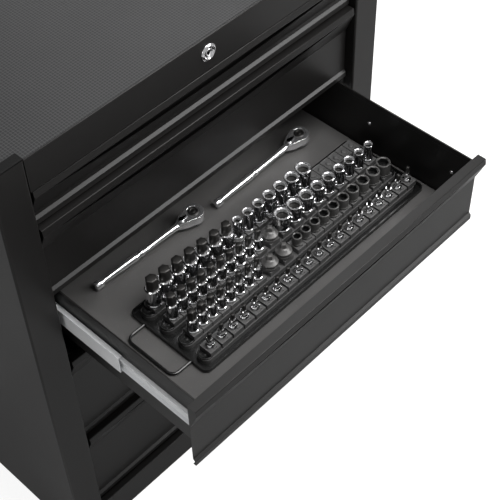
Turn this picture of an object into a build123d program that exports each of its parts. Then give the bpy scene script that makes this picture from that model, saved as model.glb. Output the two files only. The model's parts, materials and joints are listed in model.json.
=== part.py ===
from build123d import *
from math import atan2, degrees
import os

os.makedirs("parts", exist_ok=True)

# A black sheet-steel tool chest with five drawers on ball-bearing slides. The third drawer stands
# open and holds a socket tray and two ratchets. +X is to the right, +Y to the back, +Z up, and the
# origin is the centre of the footprint.

# ---------------------------------------------------------------- driving dimensions, millimetres
cabinet_width = 752
cabinet_depth = 480
post_width = 54
post_return = 60          # how far the inner flange of a front post runs back
panel_sheet = 1.5
bend_radius = 3
strip_height = 58         # the front strip that carries the lock
base_rail_height = 64
reveal = 4                # gap above each drawer front, and at its two ends
drawer_pitches = (74, 148, 148, 215, 205)
floor_rises = (12, 32, 32, 32, 32)     # from the bottom edge of each front up to its drawer floor
drawer_travels = (0, 0, 276, 0, 0)     # how far each drawer stands open

drawer_sheet = 1.2
front_recess = 16         # from the plane of the posts back to the drawer faces
lip_setback = 2           # from the plane of the posts back to the top edge of a pull
lip_height = 11
lip_rake = 1.5
pull_height = 50
pull_bend = 1.6
bead_height = 13
bead_depth = 4
grip_end_margin = 20
grip_sag = 18
box_rear_room = 50        # what the drawers leave free of the cabinet's depth
box_edge_drop = 1         # from the top of a pull down to the drawer walls
hem_height = 9
liner_thickness = 2
liner_margin = 2

slide_thickness = 13
slide_height = 42
slide_setback = 24        # from the plane of the posts back to the slides
slide_sheet = 1.2
slide_drop = 51           # from the top of a pull down to the middle of its slides
top_slide_drop = 29       # the same on the shallow top drawer
slide_mount_step = 4.5    # from the edge of the opening in to the slides' mounting faces
ball_gap = 3.3
cage_clearance = 0.6
cage_length = 160
cage_width = 3.4
outer_cage_inset = 0.5    # from the web of a middle member to its outer cages
inner_cage_inset = 3.0
middle_setback = 4
middle_reach = 7.7
outer_reach = 8.5
inner_reach = 6.5

mat_thickness = 5
mat_drop = 0.5
cap_depth = 16
cap_rise = 4
plug_clearance = 1
plug_depth = 12
hem_thickness = 3
rear_flange = 15
rear_upright_inset = 80   # from the back of the chest to the uprights' cross walls
upright_wall_flange = 25
upright_slide_flange = 30
guide_height = 20

lock_rise = 31            # from the bottom of the strip up to the lock
lock_ring_radius = 14
lock_ring_height = 3
ring_sides = 32
lock_barrel_radius = 9.3
lock_barrel_length = 22
lock_plug_radius = 6.5
lock_fit = 0.1
lock_hole_clearance = 0.2
keyway_width = 2
keyway_height = 8
keyway_depth = 8
plug_recess = 1           # from the face of the ring in to the face of the plug
plug_tail = 2
shaft_radius = 4
crank_radius = 10
crank_pin_radius = 2.5
crank_thickness = 3
crank_clearance = 2       # from the crank to the lock bar, and from the pin's end to the bar
window_play = 0.45
window_rim = 5
lock_bar_width = 24
lock_bar_thickness = 3
catch_reach = 12
catch_lip = 11
catch_width = 24
catch_drop = 34           # from the top of a pull down to its catch
claw_length = 8.5
claw_clearance = 2
claw_setback = 9
claw_sheet = 3
claw_side_margin = 4      # how much narrower the claws are than the bar, on each side
bar_tail = 40             # how far the bar reaches below its lowest claw
bar_gap = 5               # from the catches back to the lock bar
guide_clearance = 0.5
guide_wall = 3

tray_left_gap = 89.5      # from the drawer's left wall to the tray, with room for its loop
tray_depth = 165
tray_floor = 2
tray_rim_height = 7
tray_rim = 2.5
tray_corner_radius = 10
tray_right_gap = 12.5     # from the drawer's right wall to the tray
tray_setback = 75         # from the face of the open drawer back to the tray
handle_lift = 1
handle_length = 104
handle_reach = 38
handle_bar = 4.5
handle_sides = 8
handle_corner = 12
rail_count = 4
rail_pitch = 39.5
rail_front_offset = 23.5  # from the front of the tray to the first rail's middle
rail_width = 27
rail_height = 8
rail_inset = 9
clips_per_rail = 20
clip_length = 21
clip_gap = 1.2
clip_depth = 24
clip_height = 10
clip_start = 23           # from the left end of a rail to its first clip's middle
clip_finish = 11          # from the last clip's middle to the right end
rail_end_radius = 12.5

round_sides = 24          # small round parts are many-sided, to stay light
small_tool_sides = 8
socket_sides = 12
bit_gap = 0.6             # between the barrels of neighbouring bits
bit_barrel_share = 0.62   # of a bit socket's height
bore_share = 0.8          # corner radius of a socket's opening over its outer radius
deep_height = 39
shallow_height = 33.5
adapter_flange_radius = 13.5
adapter_flange_height = 12
adapter_shoulder_radius = 10.5
adapter_shoulder_height = 5
adapter_taper = 30
adapter_square = 8
adapter_square_length = 8
small_base_radius = 7
small_base_height = 5
small_barrel_radius = 5.5
small_barrel_height = 17  # from the clip
small_tip_width = 6
small_height = 29

ratchet_head_radius = 17
ratchet_head_height = 15
ratchet_grip_radius = 7.5
ratchet_neck_radius = 4.8
grip_cap_length = 14
grip_cap_edge = 1
grip_waist_radius = 4.2
grip_belly_radius = 6.3
grip_share = 0.42         # of the ratchet's length
collar_radius = 6
collar_length = 6
collar_slope = 3
drive_radius = 10
drive_square = 9.5
drive_square_length = 10
drive_fit = 0.1
drive_rise = 1
lever_length = 17
lever_width = 7
lever_height = 3
lever_pin_radius = 1.5
lever_pin_length = 5
lever_clearance = 0.3
neck_share = 2.6          # from the middle of the head back to its neck, over the head's radius
lever_offset = 25         # from the middle of the head to the lever's pin
seat_clearance = 0.3
left_ratchet_gap = 86.5   # from the drawer's left wall to the left handle's end
ratchets_gap = 43.5       # from the middle of the left head to the right handle's end
right_ratchet_gap = 71    # from the middle of the right head to the drawer's right wall
left_ratchet_setback = 54     # from the plane of the posts back to the handle's end
right_ratchet_setback = 39
left_ratchet_yaw = -3

# ------------------------------------------------------------------------------- derived places
front_y = -cabinet_depth / 2
back_y = cabinet_depth / 2
half_width = cabinet_width / 2
opening_half = half_width - post_width
cabinet_height = base_rail_height + sum(drawer_pitches) + reveal + strip_height
strip_bottom = cabinet_height - strip_height
pan_top = cabinet_height - mat_drop - mat_thickness
pan_bottom = pan_top - panel_sheet
inner_half = half_width - panel_sheet
back_panel_y = back_y - 2 * panel_sheet

mount_x = opening_half - slide_mount_step
box_half = mount_x - slide_thickness
front_half = opening_half - reveal
face_y = front_y + front_recess
lip_y = front_y + lip_setback
box_length = cabinet_depth - box_rear_room
box_front_y = face_y + drawer_sheet
box_back_y = box_front_y + box_length
slide_front_y = front_y + slide_setback
slide_length = box_length

open_index = drawer_travels.index(max(drawer_travels))
lip_levels = [strip_bottom - reveal - sum(drawer_pitches[:i]) for i in range(len(drawer_pitches))]
front_heights = [pitch - reveal for pitch in drawer_pitches]
floor_levels = [lip - height + rise for lip, height, rise in zip(lip_levels, front_heights, floor_rises)]
slide_levels = [lip_levels[0] - top_slide_drop] + [lip - slide_drop for lip in lip_levels[1:]]

lock_level = strip_bottom + lock_rise
catch_back_y = box_back_y + catch_reach
bar_y = catch_back_y + bar_gap


def section_plane(y):
    """A plane across the chest at y: its local axes are X and Z, and it extrudes to the front."""
    return Plane.XZ.offset(-y)


def channel_outline(web_x, reach, height, level):
    """A C-shaped strip of slide sheet: its web stands at web_x and its flanges reach sideways."""
    toward = 1 if reach > 0 else -1
    half = height / 2
    inner_x = web_x + toward * slide_sheet
    tip_x = web_x + reach
    Polyline(
        (web_x, level - half), (tip_x, level - half), (tip_x, level - half + slide_sheet),
        (inner_x, level - half + slide_sheet), (inner_x, level + half - slide_sheet),
        (tip_x, level + half - slide_sheet), (tip_x, level + half), (web_x, level + half),
        close=True,
    )


# ------------------------------------------------------------------------------------- the cabinet
def side_panel(name, side):
    """Outer wall, rear flange and front post, folded from one sheet. side is -1 left, 1 right."""
    outer_x = side * half_width
    edge_x = side * opening_half
    inner_x = side * mount_x
    step_y = front_y + front_recess + bend_radius
    with BuildPart() as panel:
        with BuildSketch():
            with BuildLine():
                FilletPolyline(
                    (outer_x - side * rear_flange, back_y), (outer_x, back_y), (outer_x, front_y),
                    (edge_x, front_y), (edge_x, step_y), (inner_x, step_y + slide_mount_step),
                    (inner_x, front_y + post_return),
                    radius=bend_radius,
                )
                offset(amount=panel_sheet, side=Side.LEFT if side < 0 else Side.RIGHT)
            make_face()
        extrude(amount=cabinet_height)
        # the inner flange stops under the top pan
        with BuildSketch(Plane.XY.offset(pan_bottom)):
            with Locations((side * (inner_half + mount_x - panel_sheet) / 2, front_y + cap_depth)):
                Rectangle(inner_half - mount_x + panel_sheet, post_return,
                          align=(Align.CENTER, Align.MIN))
        extrude(amount=cabinet_height, mode=Mode.SUBTRACT)
    panel.part.label = name
    export_step(panel.part, f"parts/{name}.step")


side_panel("left_side_panel", -1)
side_panel("right_side_panel", 1)


def post_cap(name, side):
    """Moulded cap on top of a hollow front post, with a plug that goes into it."""
    middle = (side * (half_width - post_width / 2), front_y + cap_depth / 2)
    with BuildPart() as cap:
        with BuildSketch(Plane.XY.offset(cabinet_height)):
            with Locations(middle):
                Rectangle(post_width, cap_depth)
        extrude(amount=cap_rise)
        chamfer(cap.faces().sort_by(Axis.Z)[-1].edges(), cap_rise / 3)
        with BuildSketch(Plane.XY.offset(cabinet_height - plug_depth)):
            with Locations(middle):
                inset = 2 * (panel_sheet + plug_clearance)
                Rectangle(post_width - inset, cap_depth - inset)
        extrude(amount=plug_depth)
    cap.part.label = name
    export_step(cap.part, f"parts/{name}.step")


post_cap("left_post_cap", -1)
post_cap("right_post_cap", 1)


def corner_notched_sheet(front_edge_y, back_edge_y):
    """Outline of the top pan and the mat: full width behind the post caps, narrower between them."""
    notch_y = front_y + cap_depth
    Polyline(
        (-opening_half, front_edge_y), (opening_half, front_edge_y), (opening_half, notch_y),
        (inner_half, notch_y), (inner_half, back_edge_y), (-inner_half, back_edge_y),
        (-inner_half, notch_y), (-opening_half, notch_y),
        close=True,
    )


with BuildPart() as top_pan:
    with BuildSketch(Plane.XY.offset(pan_bottom)):
        with BuildLine():
            corner_notched_sheet(front_y + hem_thickness, back_panel_y)
        make_face()
    extrude(amount=panel_sheet)
top_pan.part.label = "top_pan"
export_step(top_pan.part, "parts/top_pan.step")

with BuildPart() as top_mat:
    with BuildSketch(Plane.XY.offset(pan_top)):
        with BuildLine():
            corner_notched_sheet(front_y + hem_thickness, back_panel_y)
        make_face()
    extrude(amount=mat_thickness)
top_mat.part.label = "top_mat"
export_step(top_mat.part, "parts/top_mat.step")

# The front strip: a folded channel with a hemmed top edge and a round hole for the lock.
with BuildPart() as lock_strip:
    with BuildSketch(Plane.YZ.offset(-opening_half)):
        with Locations((front_y, strip_bottom)):
            Rectangle(panel_sheet, strip_height, align=Align.MIN)
            Rectangle(cap_depth - reveal, panel_sheet, align=Align.MIN)
        with Locations((front_y, pan_bottom - panel_sheet)):
            Rectangle(cap_depth - reveal, panel_sheet, align=Align.MIN)
            Rectangle(hem_thickness, cabinet_height - pan_bottom + panel_sheet, align=Align.MIN)
    extrude(amount=2 * opening_half)
    fillet(lock_strip.edges().filter_by(Axis.X).group_by(Axis.Z)[-1], hem_thickness / 2 - 0.1)
    with Locations(Plane(origin=(0, front_y, lock_level), z_dir=(0, -1, 0))):
        Hole(lock_barrel_radius + lock_hole_clearance, depth=cap_depth)
lock_strip.part.label = "lock_strip"
export_step(lock_strip.part, "parts/lock_strip.step")

# The back panel carries two guides that hold the lock bar, spot-welded at its middle.
guide_levels = (lip_levels[1] - front_heights[1] / 2, lip_levels[3] - front_heights[3] / 2)
guide_front_y = bar_y - guide_clearance - guide_wall
guide_half = lock_bar_width / 2 + guide_clearance
with BuildPart() as back_panel:
    with BuildSketch(Plane.XY):
        with Locations((0, back_panel_y)):
            Rectangle(2 * (half_width - bend_radius), panel_sheet, align=(Align.CENTER, Align.MIN))
    extrude(amount=cabinet_height)
    for level in guide_levels:
        with BuildSketch(Plane.XY.offset(level)):
            with Locations((0, guide_front_y)):
                Rectangle(2 * (guide_half + guide_wall), back_panel_y - guide_front_y,
                          align=(Align.CENTER, Align.MIN))
            with Locations((0, bar_y - guide_clearance)):
                Rectangle(2 * guide_half, lock_bar_thickness + 2 * guide_clearance,
                          align=(Align.CENTER, Align.MIN), mode=Mode.SUBTRACT)
        extrude(amount=guide_height)
back_panel.part.label = "back_panel"
export_step(back_panel.part, "parts/back_panel.step")

# The bottom: a floor sheet and the front rail folded up from it, with a flange on top.
with BuildPart() as base_pan:
    with BuildSketch(Plane.XY):
        with BuildLine():
            side_y = front_y + post_return
            Polyline(
                (-mount_x, front_y), (mount_x, front_y), (mount_x, side_y), (inner_half, side_y),
                (inner_half, back_panel_y), (-inner_half, back_panel_y), (-inner_half, side_y),
                (-mount_x, side_y),
                close=True,
            )
        make_face()
    extrude(amount=panel_sheet)
    with BuildSketch(Plane.YZ.offset(-opening_half)):
        with Locations((front_y, 0)):
            Rectangle(panel_sheet, base_rail_height, align=Align.MIN)
        with Locations((front_y, base_rail_height)):
            Rectangle(cap_depth - reveal, panel_sheet, align=(Align.MIN, Align.MAX))
    extrude(amount=2 * opening_half)
    fillet(base_pan.edges().filter_by(Axis.X).group_by(Axis.Z)[-1].sort_by(Axis.Y)[0], panel_sheet)
base_pan.part.label = "base_pan"
export_step(base_pan.part, "parts/base_pan.step")


def rear_upright(name, side):
    """Z-shaped upright from the outer wall in to the rear ends of the slides."""
    start_y = back_y - rear_upright_inset
    wall_x = side * inner_half
    face_x = side * (mount_x + panel_sheet)
    with BuildPart() as upright:
        with BuildSketch(Plane.XY.offset(panel_sheet)):
            with BuildLine():
                Polyline(
                    (wall_x, start_y - upright_wall_flange), (wall_x, start_y), (face_x, start_y),
                    (face_x, start_y + upright_slide_flange),
                )
                offset(amount=panel_sheet, side=Side.RIGHT if side < 0 else Side.LEFT)
            make_face()
        extrude(amount=pan_bottom - panel_sheet)
    upright.part.label = name
    export_step(upright.part, f"parts/{name}.step")


rear_upright("left_rear_upright", -1)
rear_upright("right_rear_upright", 1)


# ---------------------------------------------------------------------------------------- the lock
def across_lock(y):
    """A plane across the lock's axis at y."""
    return Plane(origin=(0, y, lock_level), x_dir=(1, 0, 0), z_dir=(0, -1, 0))


with BuildPart() as lock_ring:
    with BuildSketch(across_lock(front_y)):
        RegularPolygon(lock_ring_radius, ring_sides)
    extrude(amount=lock_ring_height)
    chamfer(lock_ring.faces().sort_by(Axis.Y)[0].edges(), lock_ring_height / 2)
    with BuildSketch(across_lock(front_y)):
        RegularPolygon(lock_barrel_radius, ring_sides)
    extrude(amount=-lock_barrel_length)
    with BuildSketch(across_lock(front_y + lock_barrel_length)):
        RegularPolygon(lock_plug_radius + lock_fit, round_sides, major_radius=False)
    extrude(amount=lock_barrel_length + lock_ring_height, mode=Mode.SUBTRACT)
lock_ring.part.label = "lock_ring"
export_step(lock_ring.part, "parts/lock_ring.step")

plug_face_y = front_y - lock_ring_height + plug_recess
plug_back_y = front_y + lock_barrel_length + plug_tail
with BuildPart() as lock_cylinder:
    with BuildSketch(across_lock(plug_back_y)):
        RegularPolygon(lock_plug_radius, round_sides)
    extrude(amount=plug_back_y - plug_face_y)
    with BuildSketch(across_lock(plug_face_y)):
        Rectangle(keyway_width, keyway_height)
    extrude(amount=-keyway_depth, mode=Mode.SUBTRACT)
lock_cylinder.part.label = "lock_cylinder"
export_step(lock_cylinder.part, "parts/lock_cylinder.step")

# A quarter turn of the key swings the crank pin from beside the shaft to below it.
crank_back_y = bar_y - crank_clearance
with BuildPart() as lock_shaft:
    with BuildSketch(across_lock(crank_back_y)):
        RegularPolygon(shaft_radius, socket_sides)
    extrude(amount=crank_back_y - plug_back_y)
    with BuildSketch(across_lock(crank_back_y)):
        with Locations((crank_radius / 2, 0)):
            Rectangle(crank_radius + 2 * shaft_radius, 2 * shaft_radius)
    extrude(amount=crank_thickness)
    with BuildSketch(across_lock(crank_back_y)):
        with Locations((crank_radius, 0)):
            RegularPolygon(crank_pin_radius, socket_sides)
    extrude(amount=-(lock_bar_thickness + 2 * crank_clearance))
lock_shaft.part.label = "lock_shaft"
export_step(lock_shaft.part, "parts/lock_shaft.step")

# The lock bar drops as the crank turns, and a claw comes down in front of each drawer's catch.
pin_overshoot = 0.211 * crank_radius      # a quarter turn's sine against a steady drop
window_width = crank_radius + 2 * (crank_pin_radius + window_play)
window_height = pin_overshoot + 2 * (crank_pin_radius + window_play)
bar_head_half = crank_radius + crank_pin_radius + window_rim
bar_head_height = window_height + 3 * window_rim
bar_back_y = bar_y + lock_bar_thickness
bar_bottom = lip_levels[-1] - catch_drop - bar_tail
catch_lip_tops = [lip - catch_drop for lip in lip_levels]
with BuildPart() as lock_bar:
    with BuildSketch(section_plane(bar_back_y)):
        with Locations((0, bar_bottom)):
            Rectangle(lock_bar_width, lock_level - bar_bottom, align=(Align.CENTER, Align.MIN))
        with Locations((0, lock_level)):
            Rectangle(2 * bar_head_half, bar_head_height)
        with Locations((crank_radius / 2, lock_level - pin_overshoot / 2)):
            Rectangle(window_width, window_height, mode=Mode.SUBTRACT)
    extrude(amount=lock_bar_thickness)
    for top in catch_lip_tops:
        claw_bottom = top + claw_clearance
        with BuildSketch(Plane.YZ.offset(-lock_bar_width / 2 + claw_side_margin)):
            with Locations((bar_y, claw_bottom + claw_length)):
                Rectangle(claw_setback + claw_sheet, claw_sheet, align=(Align.MAX, Align.MIN))
            with Locations((bar_y - claw_setback - claw_sheet, claw_bottom)):
                Rectangle(claw_sheet, claw_length + claw_sheet, align=Align.MIN)
        extrude(amount=lock_bar_width - 2 * claw_side_margin)
lock_bar.part.label = "lock_bar"
export_step(lock_bar.part, "parts/lock_bar.step")


# -------------------------------------------------------------------------------------- the drawers
def drawer_front(number, lip, height, travel):
    """Roll-formed front: a pull along its top, a flat face and a bead along its bottom."""
    top_y = lip_y - travel
    edge_y = top_y - lip_rake
    sheet_y = face_y - travel
    rear_y = box_front_y - travel
    bottom = lip - height
    pull_outline = [(rear_y, lip), (top_y, lip), (edge_y, lip - lip_height), (sheet_y, lip - pull_height)]
    with BuildPart() as front:
        with BuildSketch(Plane.YZ.offset(-front_half)):
            with BuildLine():
                FilletPolyline(*pull_outline, (sheet_y, bottom + bead_height), radius=pull_bend)
                Polyline(
                    (sheet_y, bottom + bead_height),
                    (sheet_y - bead_depth, bottom + bead_height - bead_depth),
                    (sheet_y - bead_depth, bottom), (rear_y, bottom),
                )
                offset(amount=drawer_sheet, side=Side.LEFT)
            make_face()
        extrude(amount=2 * front_half)
        # closed ends of the pull
        for end_x in (-front_half, front_half - drawer_sheet):
            with BuildSketch(Plane.YZ.offset(end_x)):
                with BuildLine():
                    FilletPolyline(*pull_outline, radius=pull_bend)
                    Polyline(pull_outline[-1], (rear_y, lip - pull_height), pull_outline[0])
                make_face()
            extrude(amount=drawer_sheet)
        # the finger grip: a long lens cut through the slanting underside, behind the lip
        grip_half = front_half - grip_end_margin
        grip_top = lip - lip_height - drawer_sheet
        with BuildSketch(section_plane(sheet_y)):
            with BuildLine():
                Line((-grip_half, grip_top), (grip_half, grip_top))
                ThreePointArc((grip_half, grip_top), (0, grip_top - grip_sag), (-grip_half, grip_top))
            make_face()
        extrude(amount=front_recess + lip_rake, mode=Mode.SUBTRACT)
    front.part.label = f"drawer_{number}_front"
    export_step(front.part, f"parts/drawer_{number}_front.step")


def drawer_box(number, lip, floor, travel):
    """Folded pan with hemmed side walls, and the catch that the lock bar holds."""
    wall_top = lip - box_edge_drop
    front_edge = box_front_y - travel
    back_edge = box_back_y - travel
    middle = (0, (front_edge + back_edge) / 2)
    inner_width = 2 * (box_half - drawer_sheet)
    inner_length = box_length - 2 * drawer_sheet
    with BuildPart() as box:
        with BuildSketch(Plane.XY.offset(floor)):
            with Locations(middle):
                Rectangle(2 * box_half, box_length)
        extrude(amount=wall_top - floor)
        with BuildSketch(Plane.XY.offset(floor + drawer_sheet)):
            with Locations(middle):
                Rectangle(inner_width, inner_length)
        extrude(amount=wall_top - floor - drawer_sheet, mode=Mode.SUBTRACT)
        # hems along the tops of the two side walls
        for side in (-1, 1):
            with BuildSketch(section_plane(back_edge - drawer_sheet)):
                with Locations((side * (box_half - 2 * drawer_sheet), wall_top - hem_height)):
                    Rectangle(drawer_sheet, hem_height,
                              align=(Align.MIN if side > 0 else Align.MAX, Align.MIN))
            extrude(amount=inner_length)
        # catch on the back wall: a flat tongue with an upturned lip
        lip_top = lip - catch_drop
        with BuildSketch(Plane.YZ.offset(-catch_width / 2)):
            with Locations((back_edge, lip_top - catch_lip - panel_sheet)):
                Rectangle(catch_reach, panel_sheet, align=Align.MIN)
            with Locations((back_edge + catch_reach - panel_sheet, lip_top - catch_lip - panel_sheet)):
                Rectangle(panel_sheet, catch_lip + panel_sheet, align=Align.MIN)
        extrude(amount=catch_width)
    box.part.label = f"drawer_{number}_box"
    export_step(box.part, f"parts/drawer_{number}_box.step")


def drawer_liner(number, floor, travel):
    """Loose mat on the drawer floor."""
    with BuildPart() as liner:
        with BuildSketch(Plane.XY.offset(floor + drawer_sheet)):
            with Locations((0, (box_front_y + box_back_y) / 2 - travel)):
                Rectangle(2 * (box_half - drawer_sheet - liner_margin),
                          box_length - 2 * (drawer_sheet + liner_margin))
        extrude(amount=liner_thickness)
    liner.part.label = f"drawer_{number}_liner"
    export_step(liner.part, f"parts/drawer_{number}_liner.step")


middle_height = slide_height - 2 * (slide_sheet + ball_gap)
inner_height = middle_height - 2 * (slide_sheet + ball_gap)
slide_back_y = slide_front_y + slide_length


def cabinet_slides(number, level):
    """The pair of outer members, fixed to the posts and the rear uprights."""
    with BuildPart() as slides:
        for side in (-1, 1):
            with BuildSketch(section_plane(slide_back_y)):
                with BuildLine():
                    channel_outline(side * mount_x, -side * outer_reach, slide_height, level)
                make_face()
            extrude(amount=slide_length)
    slides.part.label = f"drawer_{number}_cabinet_slides"
    export_step(slides.part, f"parts/drawer_{number}_cabinet_slides.step")


def middle_slides(number, level, travel):
    """The pair of middle members with their four ball cages each. They move half as far."""
    rear_y = slide_back_y - travel / 2
    cage_rear_y = rear_y - (slide_length - cage_length) / 2
    cage_height = ball_gap - cage_clearance
    outer_cage = middle_height / 2
    inner_cage = middle_height / 2 - slide_sheet - cage_height
    with BuildPart() as slides:
        for side in (-1, 1):
            web_x = side * (mount_x - middle_setback)
            with BuildSketch(section_plane(rear_y)):
                with BuildLine():
                    channel_outline(web_x, -side * middle_reach, middle_height, level)
                make_face()
            extrude(amount=slide_length)
            with BuildSketch(section_plane(cage_rear_y)):
                for base, inset in ((outer_cage, outer_cage_inset), (inner_cage, inner_cage_inset)):
                    for middle in (level + base + cage_height / 2, level - base - cage_height / 2):
                        with Locations((web_x - side * (inset + cage_width / 2), middle)):
                            Rectangle(cage_width, cage_height)
            extrude(amount=cage_length)
    slides.part.label = f"drawer_{number}_middle_slides"
    export_step(slides.part, f"parts/drawer_{number}_middle_slides.step")


def drawer_slides(number, level, travel):
    """The pair of inner members, fixed to the drawer's side walls."""
    with BuildPart() as slides:
        for side in (-1, 1):
            with BuildSketch(section_plane(box_back_y - travel)):
                with BuildLine():
                    channel_outline(side * box_half, side * inner_reach, inner_height, level)
                make_face()
            extrude(amount=box_back_y - slide_front_y)
    slides.part.label = f"drawer_{number}_slides"
    export_step(slides.part, f"parts/drawer_{number}_slides.step")


for index, travel in enumerate(drawer_travels):
    number = index + 1
    drawer_front(number, lip_levels[index], front_heights[index], travel)
    drawer_box(number, lip_levels[index], floor_levels[index], travel)
    drawer_liner(number, floor_levels[index], travel)
    cabinet_slides(number, slide_levels[index])
    middle_slides(number, slide_levels[index], travel)
    drawer_slides(number, slide_levels[index], travel)


# ------------------------------------------------------------------------------ the socket tray
liner_top = floor_levels[open_index] + drawer_sheet + liner_thickness
tray_base = liner_top + seat_clearance
tray_left = tray_left_gap - box_half
tray_length = 2 * box_half - tray_left_gap - tray_right_gap
tray_front_y = face_y - drawer_travels[open_index] + tray_setback
tray_middle = (tray_left + tray_length / 2, tray_front_y + tray_depth / 2)
rail_base = tray_base + tray_floor
clip_base = rail_base + rail_height
socket_base = clip_base + clip_height
rail_left = tray_left + rail_inset
rail_length = tray_length - 2 * rail_inset + 1
clip_pitch = (rail_length - clip_start - clip_finish) / (clips_per_rail - 1)
rail_rows = [tray_front_y + rail_front_offset + rail_pitch * i for i in range(rail_count)]


def clip_x(position):
    """Middle of a clip, counted from 0 at the left end of a rail."""
    return rail_left + clip_start + clip_pitch * position


with BuildPart() as socket_tray:
    with BuildSketch(Plane.XY.offset(tray_base)):
        with Locations(tray_middle):
            RectangleRounded(tray_length, tray_depth, tray_corner_radius)
    extrude(amount=tray_rim_height)
    with BuildSketch(Plane.XY.offset(rail_base)):
        with Locations(tray_middle):
            RectangleRounded(tray_length - 2 * tray_rim, tray_depth - 2 * tray_rim,
                             tray_corner_radius - tray_rim)
    extrude(amount=tray_rim_height - tray_floor, mode=Mode.SUBTRACT)
    # the carrying loop at the left end, a round bar
    loop_level = tray_base + handle_lift + handle_bar / 2
    loop_left = tray_left - handle_reach + handle_bar / 2
    loop_root = tray_left + tray_rim / 2
    loop_half = (handle_length - handle_bar) / 2
    with BuildLine(Plane.XY.offset(loop_level)) as loop:
        FilletPolyline(
            (loop_root, tray_middle[1] - loop_half), (loop_left, tray_middle[1] - loop_half),
            (loop_left, tray_middle[1] + loop_half), (loop_root, tray_middle[1] + loop_half),
            radius=handle_corner,
        )
    with BuildSketch(Plane(origin=loop.line @ 0, z_dir=loop.line % 0)):
        RegularPolygon(handle_bar / 2, handle_sides)
    sweep()
socket_tray.part.label = "socket_tray"
export_step(socket_tray.part, "parts/socket_tray.step")

with BuildPart() as socket_rails:
    with BuildSketch(Plane.XY.offset(rail_base)):
        with Locations(*[(rail_left + rail_length / 2, y) for y in rail_rows]):
            RectangleRounded(rail_length, rail_width, rail_end_radius)
    extrude(amount=rail_height)
socket_rails.part.label = "socket_rails"
export_step(socket_rails.part, "parts/socket_rails.step")

# Where the tools stand along each rail, in clip pitches from the left. Wider ones stand further apart.
front_row, second_row, third_row, back_row = rail_rows
small_places = [1.0 * i for i in range(20)]
second_bit_places = [0.15 + 0.82 * i for i in range(8)]
impact_places = [9.68 + 0.82 * i + 0.0165 * i ** 2 for i in range(10)]
third_bit_places = [0.05 + 0.85 * i for i in range(10)]
shallow_places = [10.05 + 1.19 * i - 0.0125 * i ** 2 for i in range(9)]
back_bit_places = [1.09 * i for i in range(7)]
deep_places = [7.54 + 0.96 * i + 0.017 * i ** 2 for i in range(7)]
empty_places = [14.98 + 0.8 * i for i in range(6)]
second_adapter_places = [7.1, 8.4]
third_adapter_places = [8.86]
clip_rows = (
    (front_row, small_places),
    (second_row, second_bit_places + second_adapter_places + impact_places),
    (third_row, third_bit_places + third_adapter_places + shallow_places),
    (back_row, back_bit_places + deep_places + empty_places),
)
with BuildPart() as socket_clips:
    with BuildSketch(Plane.XY.offset(clip_base)):
        for row_y, places in clip_rows:
            steps = [right - left for left, right in zip(places, places[1:])]
            for place, before, after in zip(places, steps[:1] + steps, steps + steps[-1:]):
                with Locations((clip_x(place), row_y)):
                    Rectangle(min(clip_length, min(before, after) * clip_pitch - clip_gap), clip_depth)
    extrude(amount=clip_height)
socket_clips.part.label = "socket_clips"
export_step(socket_clips.part, "parts/socket_clips.step")

# row, places, width of the first hexagon, step in width, total height, step in height
bit_rows = (
    (back_row, back_bit_places, 17, 0.5, 58, 1.4),
    (third_row, third_bit_places, 13, 0.5, 51, 1.1),
    (second_row, second_bit_places, 12, 0.6, 45, 0.2),
)
with BuildPart() as bit_sockets:
    for row_y, places, first_width, width_step, first_height, height_step in bit_rows:
        barrel_radius = (places[1] - places[0]) * clip_pitch / 2 - bit_gap / 2
        for i, place in enumerate(places):
            total_height = first_height - height_step * i
            with BuildSketch(Plane.XY.offset(socket_base)):
                with Locations((clip_x(place), row_y)):
                    RegularPolygon(barrel_radius, small_tool_sides)
            extrude(amount=bit_barrel_share * total_height)
            with BuildSketch(Plane.XY.offset(socket_base + bit_barrel_share * total_height)):
                with Locations((clip_x(place), row_y)):
                    RegularPolygon((first_width - width_step * i) / 2, 6, major_radius=False)
            extrude(amount=(1 - bit_barrel_share) * total_height)
bit_sockets.part.label = "bit_sockets"
export_step(bit_sockets.part, "parts/bit_sockets.step")

# Socket sizes grow with the room between the clips.
deep_radii = [clip_pitch * (0.35 + 0.0375 * i) for i in range(len(deep_places))]
shallow_radii = [clip_pitch * (0.59 - 0.031 * i) for i in range(len(shallow_places))]
impact_radii = [clip_pitch * (0.333 + 0.0208 * i) for i in range(len(impact_places))]
chrome_rows = (
    (back_row, deep_places, deep_radii, deep_height),
    (third_row, shallow_places, shallow_radii, shallow_height),
)
with BuildPart() as chrome_sockets:
    for row_y, places, radii, height in chrome_rows:
        for place, radius in zip(places, radii):
            with BuildSketch(Plane.XY.offset(socket_base)):
                with Locations((clip_x(place), row_y)):
                    RegularPolygon(radius, socket_sides)
            extrude(amount=height)
            with BuildSketch(Plane.XY.offset(socket_base + height)):
                with Locations((clip_x(place), row_y)):
                    RegularPolygon(radius * bore_share, 6, rotation=30)
            extrude(amount=-height / 2, mode=Mode.SUBTRACT)
chrome_sockets.part.label = "chrome_sockets"
export_step(chrome_sockets.part, "parts/chrome_sockets.step")

impact_heights = [18 + 0.8 * i for i in range(len(impact_places))]
with BuildPart() as impact_sockets:
    for place, radius, height in zip(impact_places, impact_radii, impact_heights):
        with BuildSketch(Plane.XY.offset(socket_base)):
            with Locations((clip_x(place), second_row)):
                RegularPolygon(radius, socket_sides)
        extrude(amount=height)
        with BuildSketch(Plane.XY.offset(socket_base + height)):
            with Locations((clip_x(place), second_row)):
                RegularPolygon(radius * bore_share, 6, rotation=30)
        extrude(amount=-height / 2, mode=Mode.SUBTRACT)
impact_sockets.part.label = "impact_sockets"
export_step(impact_sockets.part, "parts/impact_sockets.step")

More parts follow.
